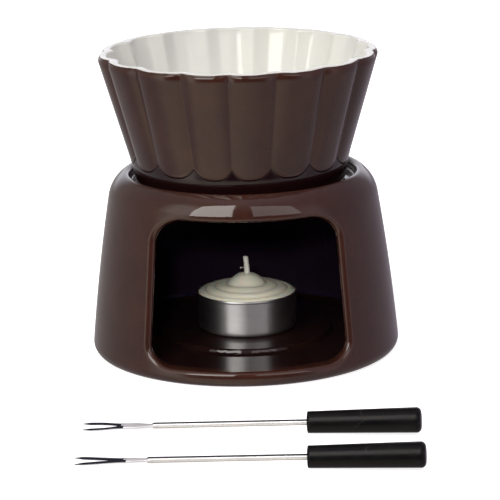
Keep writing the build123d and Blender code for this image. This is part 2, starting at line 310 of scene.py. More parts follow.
# Colours are linear.
CHOCOLATE = (0.0365, 0.0132, 0.0088)
CHOCOLATE_DEEP = (0.0285, 0.0102, 0.0072)
CHOCOLATE_WARM = (0.0470, 0.0165, 0.0098)
GLAZE_BREAK = (0.100, 0.030, 0.014)
GLAZE_BLEED = (0.11, 0.035, 0.016)
# Painted shade and painted reflection for the bowl's band.
BAND_PAINTED_SHADE = (0.0100, 0.0028, 0.0030)
# Painted shade inside the stove, tinted blue by painted reflection.
CHAMBER_PAINTED_SHADE = (0.0110, 0.0095, 0.0310)
CHAMBER_PAINTED_SHADE_RED = (0.0130, 0.0105, 0.0290)
# Painted shade for the floor of the chamber.
HEARTH_PAINTED_SHADE = (0.0060, 0.0030, 0.0032)
GLAZE_IOR = 1.52
BARE_CLAY = (0.42, 0.33, 0.24)
BARE_CLAY_DARK = (0.33, 0.25, 0.18)
CREAM = (0.785, 0.79, 0.735)
CREAM_COOL = (0.75, 0.77, 0.73)
CREAM_SPECK = (0.42, 0.34, 0.25)


def brown_glaze(graph, edge):
    """Colour, roughness and bump of the brown glaze. It breaks to red where edge is near 1."""
    cloud = graph.noise(0.016, 4.0, 0.6, 0.4)
    fleck = graph.noise(0.0011, 2.0, 0.7)
    tone = graph.mix(graph.scale(cloud, 0.32, 0.5), CHOCOLATE_DEEP, CHOCOLATE)
    tone = graph.mix(graph.scale(cloud, 0.5, 0.72), tone, CHOCOLATE_WARM)
    grain = graph.scale(fleck, 0.35, 0.75, 0.0, 0.45)
    tone = graph.mix(grain, tone, CHOCOLATE_DEEP)
    tone = graph.mix(edge, tone, GLAZE_BREAK)
    rough = graph.vary(graph.noise(0.007, 3.0), 0.035, 0.075)
    spots = graph.scale(graph.cells(0.0042), 0.02, 0.09)
    skin_height = graph.noise(0.0052, 1.0, 0.4)
    normal = graph.bump(skin_height, 0.05, 0.0006)
    pits = graph.bump(spots, 0.05, 0.0001, normal)
    return tone, rough, pits


def wiped_foot(graph, tone, rough, bare):
    """Colour and roughness with bare clay where the foot was wiped clean before firing."""
    bare = graph.scale(bare, 0.45, 0.6, smooth=True)
    clay = graph.mix(graph.noise(0.0016, 4.0, 0.7), BARE_CLAY, BARE_CLAY_DARK)
    rough = graph.plus(rough, bare, 0.75)
    return graph.mix(bare, tone, clay), rough


def stand_material():
    graph = Graph("stand_glaze")
    edge = graph.scale(graph.attribute("edge"), 0.25, 0.8, 0.0, 0.16, smooth=True)
    tone, rough, normal = brown_glaze(graph, edge)
    # Painted shade and painted reflection: inside the chamber the glaze is coloured almost black with a
    # blue tint, for the shade there and the bluish light mirrored in it.
    painted_chamber_shade = graph.mix(graph.noise(0.012, 3.0), CHAMBER_PAINTED_SHADE, CHAMBER_PAINTED_SHADE_RED)
    tone = graph.mix(graph.attribute("inside"), tone, painted_chamber_shade)
    # Painted shade on the chamber's floor, darkened towards black.
    hearth_shade = graph.scale(graph.attribute("hearth_shade"), 0.0, 1.0, 0.0, 0.8)
    tone = graph.mix(hearth_shade, tone, HEARTH_PAINTED_SHADE)
    ragged = graph.scale(graph.noise(0.002, 3.0), 0.0, 1.0, -0.35, 0.35)
    bare = graph.math("ADD", graph.attribute("bare"), ragged)
    tone, rough = wiped_foot(graph, tone, rough, bare)
    return graph.finish(Base_Color=tone, Roughness=rough, Normal=normal, IOR=GLAZE_IOR)


def bowl_material():
    graph = Graph("bowl_glaze")
    edge = graph.scale(graph.attribute("edge"), 0.15, 0.8, 0.0, 0.2, smooth=True)
    tone, rough, normal = brown_glaze(graph, edge)
    # Painted shade and painted reflection on the band under the lobes: it is darkened where the stand's lip
    # shades it and is mirrored in it.
    tone = graph.mix(graph.attribute("band_shade"), tone, BAND_PAINTED_SHADE)
    # "side" is the distance over the rim, in millimetres, from where the cream glaze ends.
    wander = graph.vary(graph.noise(0.005, 4.0, 0.6), -0.14, 0.14)
    side = graph.math("ADD", graph.attribute("side"), wander)
    bleed = graph.scale(side, -0.45, 0.02, 0.0, 0.75, smooth=True)
    tone = graph.mix(bleed, tone, GLAZE_BLEED)
    cream = graph.mix(graph.scale(graph.noise(0.02, 3.0), 0.35, 0.65), CREAM, CREAM_COOL)
    specks = graph.scale(graph.cells(0.0065), 0.0, 0.035, 0.35, 0.0)
    cream = graph.mix(specks, cream, CREAM_SPECK)
    inner = graph.scale(side, -0.05, 0.16, smooth=True)
    tone = graph.mix(inner, tone, cream)
    tone, rough = wiped_foot(graph, tone, rough, graph.attribute("bare"))
    rough = graph.plus(rough, inner, 0.03)
    return graph.finish(Base_Color=tone, Roughness=rough, Normal=normal, IOR=GLAZE_IOR)


def aluminium_material():
    """Rolled foil, its streaks running round the cup."""
    graph = Graph("cup_aluminium")
    streak = graph.noise(0.0012, 5.0, 0.65, stretch=(0.12, 0.12, 4.0))
    tone = graph.mix(graph.vary(streak, 0.0, 1.0), (0.90, 0.90, 0.89), (0.97, 0.97, 0.96))
    rough = graph.vary(graph.noise(0.004, 3.0), 0.42, 0.48)
    rough = graph.math("ADD", rough, graph.vary(streak, -0.03, 0.05))
    return graph.finish(
        Base_Color=tone,
        Metallic=1.0,
        Roughness=rough,
        Normal=graph.bump(streak, 0.04, 0.00003),
        Anisotropic=0.72,
        Anisotropic_Rotation=0.25,
        Tangent=graph.add("ShaderNodeTangent", direction_type="RADIAL", axis="Z").outputs[0],
    )


def wax_material():
    graph = Graph("wax")
    cloud = graph.noise(0.006, 4.0, 0.6)
    tone = graph.mix(graph.vary(cloud, 0.0, 1.0), (0.90, 0.88, 0.73), (0.84, 0.82, 0.67))
    # Painted shade in the grooves between the tiers: a warm brown for the shade there and the brown stove
    # mirrored in them.
    groove_shade = graph.scale(graph.attribute("groove_shade"), 0.0, 1.0, 0.0, 0.32, smooth=True)
    tone = graph.mix(groove_shade, tone, (0.50, 0.41, 0.28))
    fine = graph.noise(0.0009, 3.0, 0.6)
    rough = graph.vary(graph.noise(0.003, 3.0), 0.30, 0.46)
    normal = graph.bump(fine, 0.25, 0.00012)
    normal = graph.bump(graph.noise(0.0035, 2.0), 0.25, 0.0004, normal)
    return graph.finish(
        Base_Color=tone,
        Roughness=rough,
        Normal=normal,
        IOR=1.44,
        Subsurface_Weight=0.35,
        Subsurface_Radius=(0.004, 0.0025, 0.0014),
        Subsurface_Scale=0.5,
    )


def cotton_material():
    graph = Graph("wick_cotton")
    fibre = graph.noise(0.0005, 5.0, 0.75, 1.0)
    tone = graph.mix(graph.scale(fibre, 0.35, 0.7), (0.86, 0.83, 0.72), (0.95, 0.93, 0.86))
    rough = graph.vary(fibre, 0.75, 0.95)
    normal = graph.bump(fibre, 0.7, 0.00015)
    return graph.finish(Base_Color=tone, Roughness=rough, Normal=normal)


ALONG_FORK = (0.15, 3.0, 3.0)  # draws a pattern out along X


def streaked_steel(graph, bright, dull, rough_low, rough_high, streak_low=-0.03, stretch=ALONG_FORK):
    """Colour, roughness and bump of steel with fine streaks."""
    streak = graph.noise(0.0008, 4.0, 0.6, stretch=stretch)
    cloud = graph.noise(0.006, 3.0)
    tone = graph.mix(graph.scale(cloud, 0.35, 0.65), bright, dull)
    rough = graph.vary(cloud, rough_low, rough_high)
    rough = graph.math("ADD", rough, graph.vary(streak, streak_low, 0.05))
    return tone, rough, graph.bump(streak, 0.12, 0.00005)


def sustainer_material():
    graph = Graph("sustainer_steel")
    bright, dull = (0.50, 0.49, 0.47), (0.40, 0.392, 0.376)
    tone, rough, normal = streaked_steel(graph, bright, dull, 0.28, 0.4, -0.02, (1.0, 1.0, 1.0))
    return graph.finish(Base_Color=tone, Metallic=1.0, Roughness=rough, Normal=normal)


def blade_material():
    """Satin sheet steel. Along the gap its edges carry a painted dark reflection."""
    graph = Graph("fork_blade_steel")
    tone, rough, normal = streaked_steel(graph, (0.86, 0.86, 0.89), (0.78, 0.78, 0.80), 0.34, 0.42)
    # Painted dark reflection along the edges of the gap.
    dark = graph.scale(graph.attribute("painted_dark_edge"), 0.35, 0.65, smooth=True)
    return graph.finish(
        Base_Color=graph.mix(dark, tone, (0.020, 0.021, 0.030)),
        Metallic=graph.scale(dark, 0.0, 1.0, 0.35, 0.0),
        Roughness=graph.plus(rough, dark, 0.4),
        Normal=normal,
        Specular_IOR_Level=graph.scale(dark, 0.0, 1.0, 0.5, 0.05),
    )


def rod_material():
    """Drawn steel wire, with a painted dark reflection along its upper side and a painted warm reflection
    along its underside.
    """
    graph = Graph("fork_rod_steel")
    tone, rough, normal = streaked_steel(graph, (0.88, 0.87, 0.85), (0.80, 0.79, 0.77), 0.24, 0.32)
    dark = graph.attribute("painted_dark_reflection")
    tone = graph.mix(dark, tone, (0.035, 0.040, 0.048))
    return graph.finish(
        Base_Color=graph.mix(graph.attribute("painted_warm_reflection"), tone, (0.36, 0.31, 0.21)),
        Metallic=0.3,
        Roughness=rough,
        Normal=normal,
        Specular_IOR_Level=graph.scale(dark, 0.0, 1.0, 0.5, 0.15),
    )


def plastic_material():
    graph = Graph("handle_plastic")
    grain = graph.noise(0.0005, 3.0, 0.6)
    cloud = graph.noise(0.006, 4.0, 0.6)
    tone = graph.mix(graph.scale(cloud, 0.35, 0.7), (0.0040, 0.0038, 0.0042), (0.0075, 0.0070, 0.0072))
    # Short hairline scuffs from a drawer.
    askew = graph.add("ShaderNodeMapping", {"Vector": graph.place, "Rotation": (0.4, 0.2, 0.9)}).outputs[0]
    wave = {"Vector": askew, "Scale": 55.0, "Distortion": 9.0, "Detail": 3.0, "Detail Scale": 3.0}
    scuff = graph.add("ShaderNodeTexWave", wave).outputs["Fac"]
    thin = graph.scale(scuff, 0.985, 1.0)
    where = graph.scale(graph.noise(0.009, 1.0), 0.55, 0.66)
    scratch = graph.math("MULTIPLY", thin, where)
    tone = graph.mix(graph.math("MULTIPLY", scratch, 0.6), tone, (0.06, 0.06, 0.06))
    rough = graph.vary(cloud, 0.26, 0.36)
    rough = graph.plus(rough, scratch, 0.2)
    normal = graph.bump(grain, 0.22, 0.00008)
    return graph.finish(Base_Color=tone, Roughness=rough, Normal=normal, Specular_IOR_Level=0.15)


BLADE_STEEL = blade_material()
ROD_STEEL = rod_material()
PLASTIC = plastic_material()

# ---- Stove: the surface where a signed distance is zero ----

lean_angle = atan(LEAN)
COS_LEAN, SIN_LEAN = cos(lean_angle), sin(lean_angle)
side_top_r = WIDEST_R - LEAN * (SHOULDER_START_Z - FOOT_ROUND)
side_height = SHOULDER_START_Z - FOOT_ROUND
top_angle = atan(LEAN + 4 * BULGE / side_height)
COS_TOP, SIN_TOP = cos(top_angle), sin(top_angle)
SHOULDER_X = side_top_r - SHOULDER_R * COS_TOP
SHOULDER_Z = SHOULDER_START_Z - SHOULDER_R * SIN_TOP
LIP_COS = (LIP_R + LIP_ROUND - SHOULDER_X) / (SHOULDER_R - LIP_ROUND)
UNDERSIDE_ROUND = 0.8
UNDERSIDE_TURN = 0.7  # of the recess's edge, which is cut at 45 degrees
LEDGE_MIDDLE_Z = 40.0
CHAMBER_MIDDLE_Z = 30.0
ROUNDEST = 0.99


def rounded(a, b, radius, turn):
    """Distance to what is in both a and b, their corner rounded. turn: dot product of their normals."""
    a, b = a + radius, b + radius
    turn = np.clip(turn, -ROUNDEST, ROUNDEST)
    corner = np.sqrt(np.maximum(a * a + b * b - 2 * a * b * turn, 0) / (1 - turn * turn))
    return np.where((a > b * turn) & (b > a * turn), corner, np.maximum(a, b)) - radius


def opening(side, z, top_round, foot_round, lean):
    """Distance to a hollow between floor and ceiling, with other corners at its top than at its foot."""
    upper = rounded(side, z - CEILING_Z, top_round, lean)
    lower = rounded(side, FLOOR_Z - z, foot_round, -lean)
    return np.where(z > CHAMBER_MIDDLE_Z, upper, lower)


def stand_profile(r, z):
    """Signed distance of the stove's section, without its window or plateau."""
    up = np.clip((z - FOOT_ROUND) / side_height, 0, 1)
    side = (r - WIDEST_R - BULGE * 4 * up * (1 - up)) * COS_LEAN + (z - FOOT_ROUND) * SIN_LEAN
    foot = rounded(side, -z, FOOT_ROUND, -SIN_LEAN)
    over = (z - SHOULDER_Z) * COS_TOP - (r - SHOULDER_X) * SIN_TOP > 0
    outer = np.where(over, np.hypot(r - SHOULDER_X, z - SHOULDER_Z) - SHOULDER_R, foot)
    recess = rounded(r - LIP_R, SEAT_Z - z, SEAT_CORNER, 0)
    solid = rounded(outer, -recess, LIP_ROUND, -LIP_COS)
    wall = (r - WIDEST_R + STAND_WALL) * COS_LEAN + (z - FLOOR_Z) * SIN_LEAN
    chamber = opening(wall, z, CEILING_CORNER, FLOOR_CORNER, SIN_LEAN)
    ledge = rounded(rounded(solid, FLUE_R - r, FLUE_ROUND, 0), -chamber, FLUE_ROUND, 0)
    solid = np.where(z > LEDGE_MIDDLE_Z, ledge, np.maximum(solid, -chamber))
    under = np.maximum(z - UNDERSIDE_DEPTH, (r + z - UNDERSIDE_R - UNDERSIDE_DEPTH) / sqrt(2))
    return rounded(solid, -under, UNDERSIDE_ROUND, UNDERSIDE_TURN)


window_lean = (WINDOW_HALF_BOTTOM - WINDOW_HALF_TOP) / (CEILING_Z - FLOOR_Z)
COS_WINDOW, SIN_WINDOW = cos(atan(window_lean)), sin(atan(window_lean))


def window_outline(x, z):
    """Signed distance of the window's outline, seen from the front."""
    side = (np.abs(x) - WINDOW_HALF_BOTTOM) * COS_WINDOW + (z - FLOOR_Z) * SIN_WINDOW
    return opening(side, z, WINDOW_CORNER_TOP, WINDOW_CORNER_BOTTOM, SIN_WINDOW)


PLATEAU_SLOPE = (0.832, 0.555)  # outward normal of the plateau's side, across and up
PLATEAU_TOP_ROUND = 1.0
PLATEAU_FOOT_ROUND = 0.7
PLATEAU_SKIRT = 1.0  # how far the side has come out at the floor


def stand_distance(x, y, z):
    """Signed distance of the whole stove, in millimetres."""
    r = np.hypot(x, y)
    solid = stand_profile(r, z)
    window = window_outline(x, z)
    step = 0.02  # for the slopes of both
    across = (stand_profile(r + step, z) - solid) / step
    up = (stand_profile(r, z + step) - solid) / step
    window_x = (window_outline(x + step, z) - window) / step
    window_z = (window_outline(x, z + step) - window) / step
    turn = -(across * x / np.maximum(r, 1) * window_x + up * window_z)
    cut = rounded(solid, -window, WINDOW_ROUND, turn)
    solid = np.where(y < -WINDOW_FRONT, cut, solid)
    slope = (r - PLATEAU_R - PLATEAU_SKIRT) * PLATEAU_SLOPE[0] + (z - FLOOR_Z) * PLATEAU_SLOPE[1]
    plateau = rounded(z - PLATEAU_Z, slope, PLATEAU_TOP_ROUND, PLATEAU_SLOPE[1])
    plateau = np.maximum(plateau, UNDERSIDE_DEPTH + 1 - z)
    return -rounded(-solid, -plateau, PLATEAU_FOOT_ROUND, PLATEAU_SLOPE[1])


def slope_of(distance, points, step=0.01):
    """Gradient of a signed distance at points."""
    found = np.zeros_like(points)
    for axis in range(3):
        move = np.zeros(3)
        move[axis] = step
        ahead, behind = (points + move).T, (points - move).T
        found[:, axis] = (distance(*ahead) - distance(*behind)) / (2 * step)
    return found


PULLS = 5  # Newton steps on to the surface
FLATTEST = 0.05  # keeps a step short where the distance hardly changes


def surface_net(distance, low, high, cell):
    """Points and four-sided faces over the zero surface of a signed distance, pulled exactly onto it."""
    axes = [np.arange(a, b + cell, cell) for a, b in zip(low, high)]
    grid = np.stack(np.meshgrid(*axes, indexing="ij"), -1)
    values = distance(*np.moveaxis(grid, -1, 0))
    inside = values < 0
    size = np.array(inside.shape) - 1
    total = np.zeros((*size, 3))
    count = np.zeros(size)
    crossings = []
    for axis in range(3):
        first = tuple(slice(0, -1) if a == axis else slice(None) for a in range(3))
        second = tuple(slice(1, None) if a == axis else slice(None) for a in range(3))
        crossing = inside[first] != inside[second]
        share = np.where(crossing, values[first] / np.where(crossing, values[first] - values[second], 1), 0)
        place = grid[first].copy()
        place[..., axis] += share * cell
        place *= crossing[..., None]
        for shifts in ((0, 0), (0, 1), (1, 0), (1, 1)):
            window = [slice(None)] * 3
            for other, shift in zip([a for a in range(3) if a != axis], shifts):
                window[other] = slice(shift, shift + size[other])
            total += place[tuple(window)]
            count += crossing[tuple(window)]
        crossings.append((axis, crossing, inside[first]))
    used = count > 0
    number = np.full(size, -1)
    number[used] = np.arange(used.sum())
    points = total[used] / count[used][:, None]
    faces = []
    for axis, crossing, solid_first in crossings:
        b, c = (axis + 1) % 3, (axis + 2) % 3
        at = np.argwhere(crossing)
        at = at[(at[:, b] > 0) & (at[:, c] > 0) & (at[:, b] < size[b]) & (at[:, c] < size[c])]
        corners = []
        for db, dc in ((-1, -1), (0, -1), (0, 0), (-1, 0)):
            cell_at = at.copy()
            cell_at[:, b] += db
            cell_at[:, c] += dc
            corners.append(number[tuple(cell_at.T)])
        quad = np.stack(corners, 1)
        flip = ~solid_first[tuple(at.T)]
        quad[flip] = quad[flip][:, ::-1]
        faces.append(quad)
    faces = np.concatenate(faces)
    for _ in range(PULLS):
        slope = slope_of(distance, points)
        length = np.maximum((slope**2).sum(1), FLATTEST)
        points -= (distance(*points.T) / length)[:, None] * slope
    return points, faces.tolist()


STAND_CELL = 0.8
NET_SHIFT = 0.137  # keeps the grid off the flat faces
NORMAL_STEP = 0.03
margin = 2 * STAND_CELL
net_low = np.array([-WIDEST_R - margin, -WIDEST_R - margin, -margin]) + NET_SHIFT
net_high = (WIDEST_R + margin, WIDEST_R + margin, stand_high[2] + margin)
stand_points, stand_faces = surface_net(stand_distance, net_low, net_high, STAND_CELL)
stand_normals = slope_of(stand_distance, stand_points, NORMAL_STEP)
stand_normals /= np.linalg.norm(stand_normals, axis=1)[:, None]
glaze = stand_material()
stand = add_piece(
    "stand_glazed", stand_points, stand_faces, "stove", glaze, "stand", stand_normals
)

# Where the surface bends outwards the glaze runs thin.
BEND_REACH = 0.5
bend = np.zeros(len(stand_points))
for direction in np.eye(3):
    ahead = slope_of(stand_distance, stand_points + BEND_REACH * direction, NORMAL_STEP)
    behind = slope_of(stand_distance, stand_points - BEND_REACH * direction, NORMAL_STEP)
    bend += (ahead - behind) @ direction
add_values(stand, "edge", np.clip(bend, 0, 1))
# The painted shade on the chamber's walls and floor starts a little way into the wall, over a soft line.
INSIDE_START, INSIDE_SOFT = 0.8, 1.2
stand_r, stand_z = np.hypot(stand_points[:, 0], stand_points[:, 1]), stand_points[:, 2]
wall_r = WIDEST_R - STAND_WALL - LEAN * (stand_z - FLOOR_Z)
within_wall = np.clip((wall_r + INSIDE_START - stand_r) / INSIDE_SOFT, 0, 1)
within_wall *= (stand_z > UNDERSIDE_DEPTH + 1) & (stand_z < CEILING_Z + 2)
faces_up = stand_normals[:, 2] > 0.5
add_values(stand, "inside", within_wall * ~faces_up)
add_values(stand, "hearth_shade", within_wall * faces_up)
add_values(stand, "bare", (stand_z < 0.12) & (stand_normals[:, 2] < -0.9))

# ---- Bowl ----

flute_half = pi / FLUTES
FLUTE_STEPS = 30
CROWDING = 1.35  # above 1 the points crowd towards the valleys
part = np.linspace(-1, 1, FLUTE_STEPS, endpoint=False)
within = flute_half * np.sign(part) * (1 - (1 - np.abs(part)) ** CROWDING)
bowl_angles = np.concatenate([(2 * n + 1) * flute_half + within for n in range(FLUTES)])
from_crest = np.concatenate([within] * FLUTES)
# The bowl isn't quite regular: the two lobes beside the front valley are a little narrower, and the
# lobes at the back are turned a little.
FRONT_SQUEEZE = radians(2.8)
SQUEEZE_REACH = radians(12.0)
BACK_TURN = radians(3.2)
from_front = (bowl_angles + pi) % (2 * pi) - pi
facing = 0.5 + 0.5 * np.cos(from_front)
bowl_angles = from_front - FRONT_SQUEEZE * np.tanh(from_front / SQUEEZE_REACH) * facing
bowl_angles += radians(BOWL_TURN - 90) - BACK_TURN * (1 - facing)
LOBE_POWER = 2.7  # 2 would be a round arc, more is flatter with rounder shoulders


def soft_lobe(crest, valley, angle, soften):
    """Radius of a lobe at an angle from its crest, its valley filled a little by glaze."""
    total = 0
    for shift, weight in ((-1.5, 0.2), (-0.5, 0.3), (0.5, 0.3), (1.5, 0.2)):
        moved = angle + shift * soften / crest
        moved = (moved + flute_half) % (2 * flute_half) - flute_half
        total = total + weight * (crest - (crest - valley) * np.abs(moved / flute_half) ** LOBE_POWER)
    return total


crest_slope = (RIM_R - BAND_R) / (RIM_Z - FLUTE_START_Z)
depth_slope = (DEPTH_RIM - DEPTH_FOOT) / (RIM_Z - FLUTE_START_Z)


def flute(z, soften=0.2):
    """Radius of the fluted cone at a height, all round."""
    crest = BAND_R + crest_slope * (z - FLUTE_START_Z)
    valley = crest - DEPTH_FOOT - depth_slope * (z - FLUTE_START_Z)
    return soft_lobe(crest, valley, from_crest, soften)


HOLLOW_FLAT = 0.38  # share of a trough's half width that is flat
HOLLOW_DEPTH_RIM = 2.7
HOLLOW_DEPTH_FOOT = 1.3


def hollow(z, soften=0.9):
    """Radius of the hollow: troughs with a flat bottom, and straight sides up to a ridge."""
    crest = BAND_R + crest_slope * (z - FLUTE_START_Z) - BOWL_WALL
    share = (z - FLUTE_START_Z) / (RIM_Z - FLUTE_START_Z)
    depth = HOLLOW_DEPTH_FOOT + (HOLLOW_DEPTH_RIM - HOLLOW_DEPTH_FOOT) * share
    total = 0
    shifts = np.linspace(-1, 1, 7)
    for shift in shifts:
        moved = from_crest + shift * soften / crest
        moved = np.abs((moved + flute_half) % (2 * flute_half) - flute_half) / flute_half
        total = total + np.clip(moved - HOLLOW_FLAT, 0, 1) / (1 - HOLLOW_FLAT)
    return crest - depth * total / len(shifts)


def blend_out(a, b, width):
    """The larger of two radii, with a smooth change between them."""
    share = np.clip(0.5 + 0.5 * (a - b) / width, 0, 1)
    return b * (1 - share) + a * share + width * share * (1 - share)


def start_of_flutes():
    """Height, all round, where the fluted cone comes out of the plain band."""
    low, high = (np.full(len(from_crest), FLUTE_START_Z + away) for away in (-3.0, 5.0))
    for _ in range(30):
        middle = (low + high) / 2
        out = flute(middle, soften=0.15)
        high = np.where(out > BAND_R, middle, high)
        low = np.where(out > BAND_R, low, middle)
    return (low + high) / 2


bowl_rings = []
bowl_marks = {"side": [], "edge": [], "bare": [], "band_shade": []}
OUTSIDE, INSIDE = -20.0, 20.0  # well away from the line where the cream glaze ends


def bowl_row(radius, height, side=OUTSIDE, edge=0.0, bare=0.0, band_shade=0.0):
    """One ring of the bowl. side is the distance over the rim from where the cream glaze ends."""
    bowl_rings.append(ring(radius, bowl_angles, height) + (BOWL_X, 0, 0))
    for mark, value in zip(bowl_marks.values(), (side, edge, bare, band_shade)):
        mark.append(np.full(len(bowl_angles), value))


# Underside, the unglazed ring it stands on, and the round up to the band.
FOOT_IN_R = 33.0
FOOT_RECESS = 1.2
FOOT_RECESS_R = 31.4
FOOT_EDGE = 0.5
FOOT_CORNER = 2.0
for radius in (3, 8, 14, 20, 26, 30, FOOT_RECESS_R):
    bowl_row(radius, SEAT_Z + FOOT_RECESS)
for r, z in arc((FOOT_RECESS_R, SEAT_Z + FOOT_RECESS - FOOT_EDGE), FOOT_EDGE, 90, 0, 5):
    bowl_row(r, z)
for r, z in arc((FOOT_IN_R, SEAT_Z + FOOT_EDGE), FOOT_EDGE, 180, 270, 5):
    bowl_row(r, z, bare=0.4)
for radius in np.linspace(FOOT_IN_R + 0.8, BAND_R - FOOT_CORNER - 0.4, 4):
    bowl_row(radius, SEAT_Z, bare=1.0)
band_low_r = BAND_FOOT_R - 0.1
band_foot_z = SEAT_Z + FOOT_CORNER
for r, z in arc((band_low_r - FOOT_CORNER, band_foot_z), FOOT_CORNER, -90, 0, 10):
    bowl_row(r, z, bare=0.6 if z < SEAT_Z + 0.1 else 0.0, band_shade=1.0)

# The plain band, the round ends of the lobes that stand over it, and the lobes.
flute_foot = start_of_flutes()
band_bend_z = FLUTE_START_Z - LOBE_END


def band_radius(z):
    """The band leans out from its foot and stands upright between the lobes' ends."""
    lean = np.clip((z - band_foot_z) / (band_bend_z - band_foot_z), 0, 1)
    return band_low_r + (BAND_R - LOBE_STEP - band_low_r) * lean


for share in np.linspace(0, 1, 13)[1:]:
    z = band_foot_z + (flute_foot - LOBE_END - band_foot_z) * share
    bowl_row(band_radius(z), z, band_shade=1.0)
for angle in np.radians(np.linspace(8, 82, 9)):
    swell = LOBE_STEP * sin(angle) ** 0.8
    bowl_row(BAND_R - LOBE_STEP + swell, flute_foot - LOBE_END * cos(angle), band_shade=max(0.0, 1 - angle))
SHOULDER_LOW = 2.5  # below the rim, where the lobes begin to round over
lobe_top = RIM_Z - SHOULDER_LOW
lobe_heights = [flute_foot + offset for offset in (0.12, 0.35, 0.7, 1.1)]
for share in np.linspace(0, 1, 26)[1:]:
    lobe_heights.append(lobe_heights[3] + (lobe_top - lobe_heights[3]) * share)
for z in lobe_heights:
    bowl_row(blend_out(flute(z), np.full(len(z), BAND_R), 0.12), z)

# The lobes round over on to a thin lip with a flatter outline.
LIP_STEP_CREST = 1.2
LIP_STEP_VALLEY = 0.45
CREST_DROP = 0.25  # the lip is this much lower at the crests than at the valleys
LOBE_ROUND_HEIGHT = 1.35
LOBE_ROUND_START = 0.15
lip_outer = soft_lobe(RIM_R - LIP_STEP_CREST, RIM_R - DEPTH_RIM - LIP_STEP_VALLEY, from_crest, 0.4)
lip_inner = hollow(RIM_Z - 1.0)
lobe_edge = flute(lobe_top)
round_low = lobe_top + LOBE_ROUND_START
for angle in np.radians(np.linspace(10, 90, 9)):
    r = lip_outer + (lobe_edge - lip_outer) * np.cos(angle)
    bowl_row(r, round_low + LOBE_ROUND_HEIGHT * sin(angle), side=-1.8 + 0.9 * angle / (pi / 2), edge=0.5)
lip_low = round_low + LOBE_ROUND_HEIGHT
crown_middle = (lip_outer + lip_inner) / 2
crown_half = (lip_outer - lip_inner) / 2
crown_height = RIM_Z - lip_low - CREST_DROP * (0.5 + 0.5 * np.cos(pi * from_crest / flute_half))
for number, angle in enumerate(np.radians(np.linspace(4, 176, 19))):
    reach = np.sign(cos(angle)) * abs(cos(angle)) ** 0.7
    height = lip_low + crown_height * sin(angle) ** 0.75
    bowl_row(crown_middle + crown_half * reach, height, side=-0.75 + 0.2 * number)

# The hollow, its round down to the floor, and the floor, which loses the troughs towards its middle.
DISH_R = 7.0
inner_low = BOWL_FLOOR_Z + DISH_R
for share in np.linspace(0, 1, 24)[1:]:
    z = lip_low + (inner_low - lip_low) * share
    bowl_row(hollow(z), z, side=INSIDE)
dish_start = hollow(inner_low)
dish_angle = atan(1 / crest_slope)
dish_rise = DISH_R * (1 - cos(dish_angle))
for share in np.linspace(0, 1, 12)[1:]:
    angle = dish_angle * (1 - share)
    reach = DISH_R * (sin(dish_angle) - sin(angle))
    rise = DISH_R * (1 - cos(angle)) + (DISH_R - dish_rise) * (1 - share)
    bowl_row(dish_start - reach, BOWL_FLOOR_Z + rise, side=INSIDE)
floor_edge = dish_start - DISH_R * sin(dish_angle)
floor_r = floor_edge.mean()
for share in np.linspace(1, 0.06, 9)[1:]:
    bowl_row(floor_r * share + (floor_edge - floor_r) * share**3, BOWL_FLOOR_Z, side=INSIDE)

bowl_points, bowl_faces = skin(bowl_rings)
bowl = add_piece("bowl_glazed", bowl_points, bowl_faces, "bowl", bowl_material(), "bowl")
for name, mark in bowl_marks.items():
    ends = [OUTSIDE, INSIDE] if name == "side" else [0.0, 0.0]
    add_values(bowl, name, np.concatenate([*mark, ends]))

# ---- Tealight ----

candle_at = np.array([CANDLE_X, CANDLE_Y, CUP_Z])
bead_z = CUP_HEIGHT - BEAD_R
bead_x = CUP_R - CUP_WALL / 2
side_lean = (CUP_R - CUP_FOOT_R) / (CUP_HEIGHT - CUP_FOOT_ROUND)
foot_x = CUP_FOOT_R - CUP_FOOT_ROUND


def cup_side(z, inset):
    return CUP_FOOT_R - inset + side_lean * (z - CUP_FOOT_ROUND)


DENT = 0.006


def dented(r, z, angles):
    """The thin cup isn't quite round, and carries the small flats of handling."""
    share = np.clip((z - 1.0) / 6.0, 0, 1) * np.clip((CUP_HEIGHT - 0.6 - z) / 2.0, 0, 1)
    soft = waves(angles, z / 14.0, 5, 9, 7)
    return r + DENT * soft * share * (r > foot_x), z


DIMPLE = 0.35  # the middle of the cup's floor is pressed up
cup_path = line((0.8, DIMPLE), (9.0, DIMPLE), 6)
cup_path += line((9.6, 0.0), (foot_x - 1.5, 0.0), 5)
cup_path += arc((foot_x, CUP_FOOT_ROUND), CUP_FOOT_ROUND, -90, 0, 12)
cup_path += [(cup_side(z, 0), z) for z in np.linspace(CUP_FOOT_ROUND + 0.6, bead_z - 0.75, 24)]
cup_path += arc((bead_x, bead_z), BEAD_R, -75, 255, 18)
cup_path += [(cup_side(z, CUP_WALL), z) for z in np.linspace(bead_z - 0.75, CUP_FOOT_ROUND + 0.6, 14)]
cup_path += arc((foot_x, CUP_FOOT_ROUND), CUP_FOOT_ROUND - CUP_WALL, 0, -90, 10)
cup_path += line((foot_x - 1.5, CUP_WALL), (10.2, CUP_WALL), 4)
cup_path += line((9.0, CUP_WALL + DIMPLE), (0.8, CUP_WALL + DIMPLE), 5)
cup_points, cup_faces = skin(lathe(cup_path, 160, dented))
cup_points += candle_at
foil = aluminium_material()
add_piece("tealight_cup_rolled", cup_points, cup_faces, "tealight", foil, "tealight_cup")

